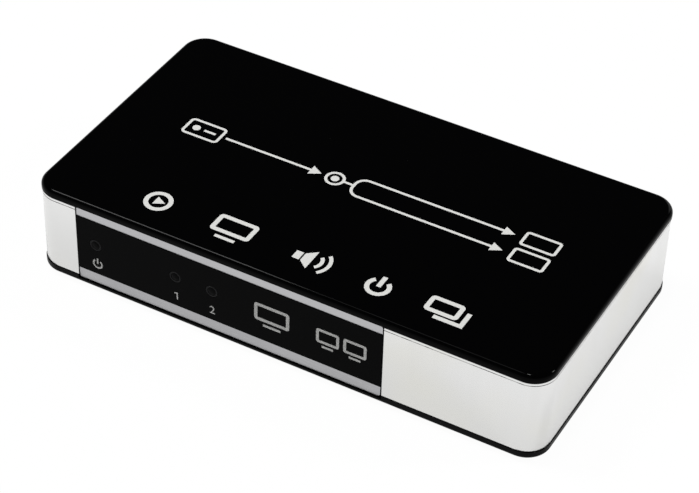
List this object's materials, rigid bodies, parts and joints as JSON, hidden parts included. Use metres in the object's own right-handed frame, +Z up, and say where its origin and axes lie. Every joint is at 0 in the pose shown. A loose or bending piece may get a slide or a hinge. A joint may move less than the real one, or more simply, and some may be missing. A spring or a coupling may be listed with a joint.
{
  "type": "video splitter",
  "caption": "Low desktop video splitter box with a gloss black cover, silver side band, black front label with indicator lenses, and video sockets and a power inlet at the rear.",
  "frame": {"origin": "under the middle of the case, on the plane that the rubber feet stand on", "axes": "+X to the right seen from the front, the front faces -Y, the sockets face +Y, +Z up"},
  "size_m": [0.11, 0.06, 0.0213],
  "materials": {
    "cover_gloss_black": "polished moulded black",
    "band_silver": "bright polished silver",
    "base_black": "fine moulded black",
    "plate_satin_silver": "satin silver",
    "film_black": "printed black film",
    "lens_smoked": "smoked clear",
    "panel_black": "fine textured black",
    "foot_rubber": "matt black rubber",
    "screw_steel": "nickel-plated steel",
    "board_green": "green solder mask",
    "shell_steel": "stamped plated sheet",
    "insulator_black": "black moulding",
    "contact_gold": "gold-plated contacts",
    "contact_bronze": "plated spring bronze",
    "lamp_clear": "clear lamp body",
    "lead_tin": "tinned leads",
    "chip_black": "black chip package",
    "pad_grey": "soft thermal pad",
    "sink_aluminium": "bare aluminium",
    "ferrite_grey": "moulded ferrite",
    "ceramic_tan": "ceramic body"
  },
  "bodies": {
    "case": {"top_cover": "cover_gloss_black", "side_band": "band_silver", "base_plate": "base_black", "front_plate": "plate_satin_silver", "front_film": "film_black", "power_lens": "lens_smoked", "output_1_lens": "lens_smoked", "output_2_lens": "lens_smoked", "rear_panel": "panel_black", "rubber_feet": "foot_rubber", "case_screws": "screw_steel", "circuit_board": "board_green", "input_shell": "shell_steel", "input_insulator": "insulator_black", "input_contacts": "contact_gold", "output_1_shell": "shell_steel", "output_1_insulator": "insulator_black", "output_1_contacts": "contact_gold", "output_2_shell": "shell_steel", "output_2_insulator": "insulator_black", "output_2_contacts": "contact_gold", "inlet_housing": "insulator_black", "inlet_pin": "contact_bronze", "inlet_blade_terminal": "contact_bronze", "inlet_switch_contact": "contact_bronze", "power_lamp": "lamp_clear", "output_1_lamp": "lamp_clear", "output_2_lamp": "lamp_clear", "lamp_leads": "lead_tin", "lamp_holders": "insulator_black", "splitter_chip": "chip_black", "thermal_pad": "pad_grey", "heat_sink": "sink_aluminium", "control_chip": "chip_black", "memory_chip": "chip_black", "switching_regulator": "chip_black", "linear_regulator": "chip_black", "chip_leads": "lead_tin", "crystal": "sink_aluminium", "power_inductor": "ferrite_grey", "filter_capacitors": "sink_aluminium", "chip_capacitors": "ceramic_tan", "chip_resistors": "chip_black", "surge_arrays": "chip_black"},
    "contact_blade": {"inlet_blade": "contact_bronze"}
  },
  "joints": [
    {"name": "blade_flex", "type": "hinge", "parent": "case", "child": "contact_blade", "pos_m": [-0.036, 0.0175, 0.00827], "axis": [-1, 0, 0], "range_deg": [0, 4.9], "stiffness_Nm_per_rad": 0.16}
  ]
}
